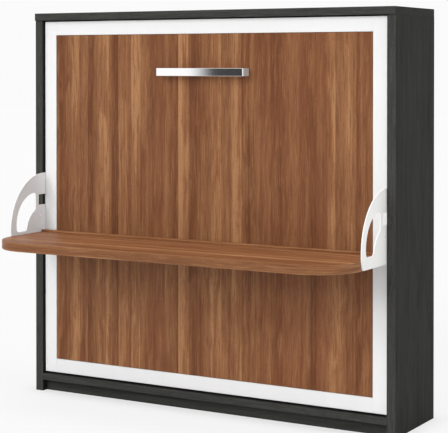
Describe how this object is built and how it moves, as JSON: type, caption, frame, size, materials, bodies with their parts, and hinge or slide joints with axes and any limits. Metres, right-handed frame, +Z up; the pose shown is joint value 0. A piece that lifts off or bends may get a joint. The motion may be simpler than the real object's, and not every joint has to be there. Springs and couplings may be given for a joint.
{
  "type": "wall bed with level desk",
  "caption": "Sideways wall bed in a dark cabinet; the bed front folds down on a low pivot while a linked desk on curved brackets stays level beneath it.",
  "frame": {"origin": "centre of the bottom of the whole part's box at rest, desk included: on the floor, midway between the side boards and midway between the desk's front edge and the back board", "axes": "+X along the cabinet to the right as seen from the front, +Y from the desk towards the wall, +Z up"},
  "size_m": [2.06, 0.956, 1.992],
  "materials": {
    "carcass": "satin",
    "plinth": "matte",
    "back_board": "matte",
    "raw_wood": "matte",
    "black_rubber": "matte",
    "zinc_steel": "satin",
    "bright_steel": "satin",
    "white_lacquer": "satin",
    "walnut_panel": "satin",
    "walnut_desk": "satin",
    "white_steel": "satin",
    "grey_tube": "satin",
    "black_plastic": "matte",
    "bush_plastic": "matte",
    "mattress_cloth": "matte",
    "strap_cloth": "matte",
    "handle_chrome": "polished",
    "strut_black": "satin",
    "rod_chrome": "polished"
  },
  "bodies": {
    "cabinet": {"side_panel_left": "carcass", "side_panel_right": "carcass", "top_panel": "carcass", "bottom_panel": "carcass", "plinth_front": "plinth", "plinth_rear": "plinth", "plinth_ribs": "plinth", "back_panel": "back_board", "wall_rail_top": "carcass", "wall_rails_low": "carcass", "cabinet_dowels": "raw_wood", "stop_batten": "carcass", "stop_bumpers": "black_rubber", "pivot_plate_left": "zinc_steel", "pivot_plate_right": "zinc_steel", "plate_screws": "bright_steel", "main_pins": "bright_steel", "anchor_pins": "bright_steel"},
    "bed": {"frame_stile_left": "white_lacquer", "frame_stile_right": "white_lacquer", "frame_rail_top": "white_lacquer", "frame_rail_bottom": "white_lacquer", "front_panel": "walnut_panel", "side_tube_left": "grey_tube", "side_tube_right": "grey_tube", "cross_tube_foot": "grey_tube", "cross_tubes": "grey_tube", "hinge_plates": "zinc_steel", "pivot_lugs": "zinc_steel", "main_bushes": "bush_plastic", "hub_pins": "bright_steel", "strut_studs": "bright_steel", "slats": "raw_wood", "slat_caps": "black_plastic", "slat_pads": "black_plastic", "mattress": "mattress_cloth", "mattress_straps": "strap_cloth", "mattress_guard": "zinc_steel", "handle": "handle_chrome", "handle_screws": "bright_steel"},
    "desk": {"desk_top": "walnut_desk", "desk_strip": "walnut_desk", "desk_bracket_left": "white_steel", "desk_bracket_right": "white_steel", "desk_screws": "bright_steel", "desk_bushes": "black_plastic", "tail_pins": "bright_steel"},
    "link_left": {"link_bar_left": "zinc_steel"},
    "link_right": {"link_bar_right": "zinc_steel"},
    "leg_left": {"leg_left": "zinc_steel", "foot_left": "black_rubber", "knee_pin_left": "bright_steel"},
    "leg_right": {"leg_right": "zinc_steel", "foot_right": "black_rubber", "knee_pin_right": "bright_steel"},
    "strut_tube_left": {"strut_tube_left": "strut_black"},
    "strut_tube_right": {"strut_tube_right": "strut_black"},
    "strut_rod_left": {"strut_rod_left": "rod_chrome"},
    "strut_rod_right": {"strut_rod_right": "rod_chrome"}
  },
  "joints": [
    {"name": "bed_fold", "type": "hinge", "parent": "cabinet", "child": "bed", "pos_m": [0, 0.074, 0.3], "axis": [1, 0, 0], "range_deg": [0, 90]},
    {"name": "desk_level", "type": "hinge", "parent": "bed", "child": "desk", "pos_m": [0, 0.074, 1.035], "axis": [1, 0, 0], "range_deg": [-90, 0]},
    {"name": "link_swing_left", "type": "hinge", "parent": "cabinet", "child": "link_left", "pos_m": [-0.9765, 0.106, 0.332], "axis": [1, 0, 0], "range_deg": [0, 90]},
    {"name": "leg_drop_left", "type": "hinge", "parent": "bed", "child": "leg_left", "pos_m": [-0.9825, 0.074, 1.7], "axis": [1, 0, 0], "range_deg": [-90, 0]},
    {"name": "strut_lean_left", "type": "hinge", "parent": "cabinet", "child": "strut_tube_left", "pos_m": [-0.962, 0.13697, 0.47395], "axis": [1, 0, 0], "range_deg": [0, 45]},
    {"name": "strut_push_left", "type": "hinge", "parent": "bed", "child": "strut_rod_left", "pos_m": [-0.962, 0.074, 0.115], "axis": [1, 0, 0], "range_deg": [-45, 0]},
    {"name": "link_swing_right", "type": "hinge", "parent": "cabinet", "child": "link_right", "pos_m": [0.9765, 0.106, 0.332], "axis": [1, 0, 0], "range_deg": [0, 90]},
    {"name": "leg_drop_right", "type": "hinge", "parent": "bed", "child": "leg_right", "pos_m": [0.9825, 0.074, 1.7], "axis": [1, 0, 0], "range_deg": [-90, 0]},
    {"name": "strut_lean_right", "type": "hinge", "parent": "cabinet", "child": "strut_tube_right", "pos_m": [0.962, 0.13697, 0.47395], "axis": [1, 0, 0], "range_deg": [0, 45]},
    {"name": "strut_push_right", "type": "hinge", "parent": "bed", "child": "strut_rod_right", "pos_m": [0.962, 0.074, 0.115], "axis": [1, 0, 0], "range_deg": [-45, 0]}
  ],
  "couplings": [
    {"joint": "desk_level", "follows": "bed_fold", "ratio": -1},
    {"joint": "link_swing_left", "follows": "bed_fold", "ratio": 1},
    {"joint": "leg_drop_left", "follows": "bed_fold", "ratio": -1},
    {"joint": "strut_lean_left", "follows": "bed_fold", "ratio": 0.5},
    {"joint": "strut_push_left", "follows": "bed_fold", "ratio": -0.5},
    {"joint": "link_swing_right", "follows": "bed_fold", "ratio": 1},
    {"joint": "leg_drop_right", "follows": "bed_fold", "ratio": -1},
    {"joint": "strut_lean_right", "follows": "bed_fold", "ratio": 0.5},
    {"joint": "strut_push_right", "follows": "bed_fold", "ratio": -0.5}
  ]
}
